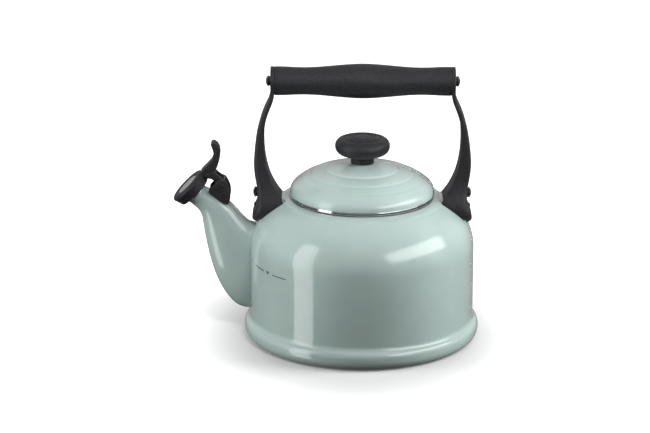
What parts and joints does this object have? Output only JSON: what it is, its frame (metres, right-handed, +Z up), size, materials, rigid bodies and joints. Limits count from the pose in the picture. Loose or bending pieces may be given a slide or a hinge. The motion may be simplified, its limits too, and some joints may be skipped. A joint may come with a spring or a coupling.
{
  "type": "stovetop whistling kettle",
  "caption": "Enamelled stovetop kettle with a fixed grip above the lid, a lift-off lid with a knob, and a spout closed by a sprung whistle cap with a thumb lever.",
  "frame": {"origin": "centre of the flat underside of the base, on the axis of the vessel", "axes": "+Z up along the axis of the vessel; the spout points along -X; the grip runs along X above the lid"},
  "size_m": [0.2598, 0.2, 0.2377],
  "materials": {
    "sage_enamel": "glossy vitreous enamel, sage green",
    "black_phenolic": "black heat-proof moulding, satin",
    "black_steel": "black-coated steel",
    "polished_steel": "polished stainless steel",
    "zinc_steel": "zinc-plated steel",
    "brass": "turned brass",
    "whistle_steel": "satin stainless steel",
    "silicone": "dark silicone"
  },
  "bodies": {
    "kettle": {"base_pan": "sage_enamel", "body_shell": "sage_enamel", "spout": "sage_enamel", "spout_lip_ring": "polished_steel", "front_handle_lug": "sage_enamel", "rear_handle_lug": "sage_enamel", "front_arm": "black_phenolic", "rear_arm": "black_phenolic", "grip": "black_phenolic", "grip_tie_rod": "zinc_steel", "front_grip_screw": "black_steel", "rear_grip_screw": "black_steel", "front_grip_washer": "black_steel", "rear_grip_washer": "black_steel", "front_foot_washer": "black_steel", "rear_foot_washer": "black_steel", "front_upper_screw": "black_steel", "rear_upper_screw": "black_steel", "front_lower_screw": "black_steel", "rear_lower_screw": "black_steel", "hinge_bracket": "black_phenolic", "bracket_rivet": "zinc_steel", "hinge_pin": "black_steel", "hinge_spring": "zinc_steel"},
    "lid": {"lid_shell": "sage_enamel", "lid_band": "polished_steel", "knob": "black_phenolic", "knob_insert": "brass", "knob_washer": "zinc_steel", "knob_screw": "zinc_steel"},
    "whistle_flap": {"whistle_cap": "black_phenolic", "whistle_rear_plate": "whistle_steel", "whistle_front_plate": "whistle_steel", "mouth_seal": "silicone"}
  },
  "joints": [
    {"name": "lid_lift", "type": "slide", "parent": "kettle", "child": "lid", "axis": [0, 0, 1], "range_m": [0, 0.028]},
    {"name": "whistle_open", "type": "hinge", "parent": "kettle", "child": "whistle_flap", "pos_m": [-0.1192, 0, 0.1331], "axis": [0, 1, 0], "range_deg": [0, 45], "stiffness_Nm_per_rad": 0.01, "springref_deg": -45.84}
  ]
}
